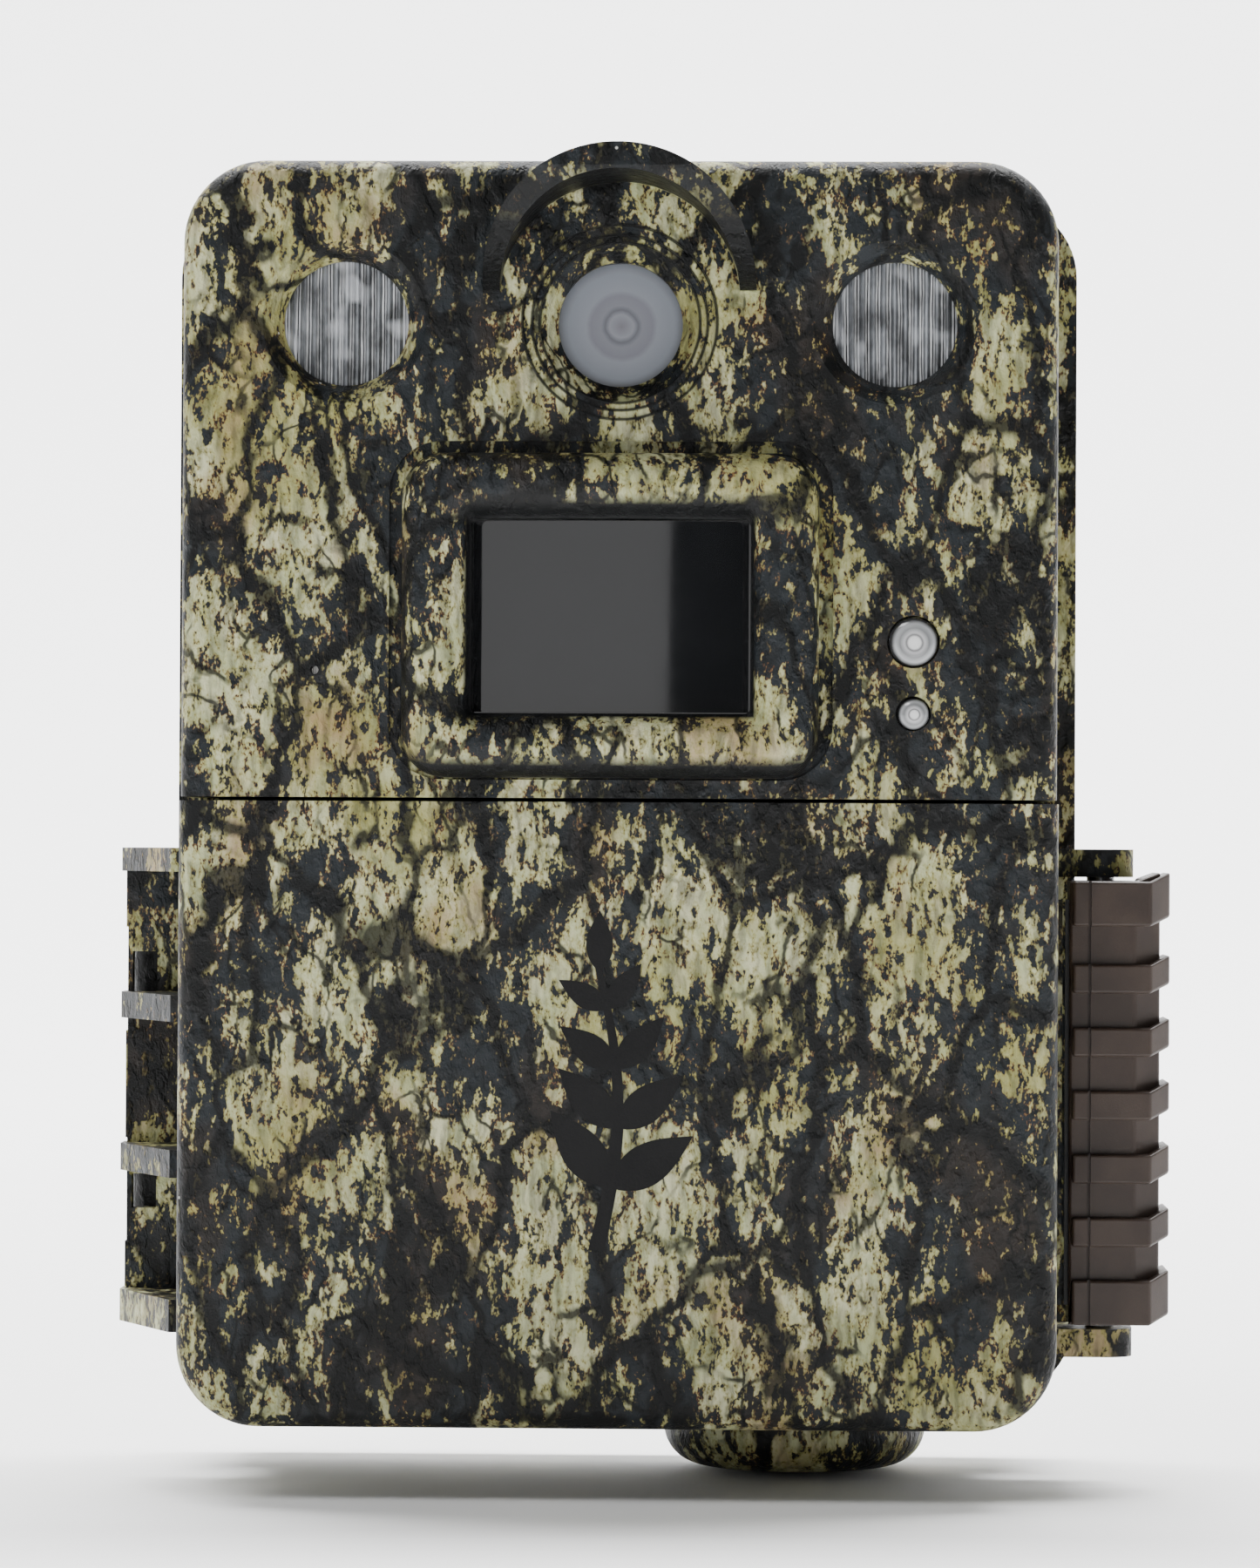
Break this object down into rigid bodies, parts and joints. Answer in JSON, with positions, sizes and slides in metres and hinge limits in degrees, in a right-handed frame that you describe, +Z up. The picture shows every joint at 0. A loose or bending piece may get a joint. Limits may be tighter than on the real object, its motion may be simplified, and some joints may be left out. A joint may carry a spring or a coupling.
{
  "type": "trail camera",
  "caption": "Weatherproof wildlife camera with a hooded lens, motion sensor window, infrared lamps and a side-hinged lower door.",
  "frame": {"origin": "mouth of the threaded tripod socket in the flat back of the case", "axes": "+Y out of the back, along the socket; -Y is forward through the lens; +Z up; +X towards the latch"},
  "size_m": [0.1126, 0.067, 0.1409],
  "materials": {
    "camo_shell": "satin",
    "latch_rubber": "satin",
    "latch_core": "satin",
    "pin_steel": "satin",
    "lens_cover": "gloss",
    "ir_cover": "gloss",
    "pir_black": "gloss",
    "clear_dome": "gloss",
    "gasket_rubber": "matte",
    "black_plastic": "matte",
    "lens_glass": "gloss",
    "filter_glass": "gloss",
    "circuit_board": "satin",
    "chip_black": "satin",
    "sensor_silicon": "gloss",
    "reflector": "polished",
    "led_clear": "gloss",
    "can_metal": "satin",
    "panel_grey": "matte",
    "lcd_glass": "gloss",
    "key_rubber": "matte",
    "switch_plastic": "satin",
    "socket_steel": "satin",
    "card_blue": "satin",
    "cell_wrap": "gloss",
    "contact_nickel": "satin",
    "flex_amber": "satin",
    "insert_brass": "satin"
  },
  "bodies": {
    "case": {"rear_case": "camo_shell", "front_housing": "camo_shell", "housing_gasket": "gasket_rubber", "door_gasket": "gasket_rubber", "hinge_pin": "pin_steel", "latch_pin": "pin_steel", "lens_window": "lens_cover", "ir_window_left": "ir_cover", "ir_window_right": "ir_cover", "pir_window": "pir_black", "status_lens": "clear_dome", "light_sensor_lens": "clear_dome", "main_board": "circuit_board", "main_chips": "chip_black", "sensor_board": "circuit_board", "image_sensor": "sensor_silicon", "lens_mount": "black_plastic", "lens_barrel": "black_plastic", "front_lens": "lens_glass", "ir_board_left": "circuit_board", "ir_board_right": "circuit_board", "ir_reflectors": "reflector", "ir_leds": "led_clear", "pir_board": "circuit_board", "pir_sensor": "can_metal", "indicator_board": "circuit_board", "status_led": "led_clear", "light_sensor": "led_clear", "microphone": "can_metal", "inner_panel": "panel_grey", "lcd_window": "lcd_glass", "lcd_module": "black_plastic", "control_board": "circuit_board", "tact_switches": "can_metal", "switch_body": "can_metal", "sd_socket": "socket_steel", "flex_cable": "flex_amber", "battery_tray": "black_plastic", "aa_cells": "cell_wrap", "battery_contacts": "contact_nickel", "dc_jack": "black_plastic", "tripod_insert": "insert_brass", "case_screws": "pin_steel", "panel_screws": "pin_steel"},
    "door": {"door": "camo_shell"},
    "latch": {"latch_lever": "latch_core", "latch_grip": "latch_rubber"},
    "switch": {"power_switch": "switch_plastic"},
    "card": {"sd_card": "card_blue"},
    "plug": {"dc_plug": "latch_rubber"},
    "filter": {"ir_cut_filter": "filter_glass"},
    "up_key": {"up_button": "key_rubber"},
    "down_key": {"down_button": "key_rubber"},
    "left_key": {"left_button": "key_rubber"},
    "right_key": {"right_button": "key_rubber"},
    "enter_key": {"enter_button": "key_rubber"},
    "mode_key": {"mode_button": "key_rubber"}
  },
  "joints": [
    {"name": "door_swing", "type": "hinge", "parent": "case", "child": "door", "pos_m": [-0.0505, -0.025, -0.043], "axis": [0, 0, -1], "range_deg": [0, 110]},
    {"name": "latch_swing", "type": "hinge", "parent": "case", "child": "latch", "pos_m": [0.052, -0.023, -0.044], "axis": [0, 0, 1], "range_deg": [0, 90]},
    {"name": "up_press", "type": "slide", "parent": "case", "child": "up_key", "axis": [0, 1, 0], "range_m": [0, 0.0005], "stiffness_N_per_m": 1000},
    {"name": "down_press", "type": "slide", "parent": "case", "child": "down_key", "axis": [0, 1, 0], "range_m": [0, 0.0005], "stiffness_N_per_m": 1000},
    {"name": "left_press", "type": "slide", "parent": "case", "child": "left_key", "axis": [0, 1, 0], "range_m": [0, 0.0005], "stiffness_N_per_m": 1000},
    {"name": "right_press", "type": "slide", "parent": "case", "child": "right_key", "axis": [0, 1, 0], "range_m": [0, 0.0005], "stiffness_N_per_m": 1000},
    {"name": "enter_press", "type": "slide", "parent": "case", "child": "enter_key", "axis": [0, 1, 0], "range_m": [0, 0.0005], "stiffness_N_per_m": 1000},
    {"name": "mode_press", "type": "slide", "parent": "case", "child": "mode_key", "axis": [0, 1, 0], "range_m": [0, 0.0005], "stiffness_N_per_m": 1000},
    {"name": "power_slide", "type": "slide", "parent": "case", "child": "switch", "axis": [1, 0, 0], "range_m": [0, 0.003]},
    {"name": "card_pull", "type": "slide", "parent": "case", "child": "card", "axis": [0, -1, 0], "range_m": [0, 0.0075]},
    {"name": "plug_pull", "type": "slide", "parent": "case", "child": "plug", "axis": [0, 0, -1], "range_m": [0, 0.008]},
    {"name": "filter_shift", "type": "slide", "parent": "case", "child": "filter", "axis": [1, 0, 0], "range_m": [0, 0.006]}
  ]
}
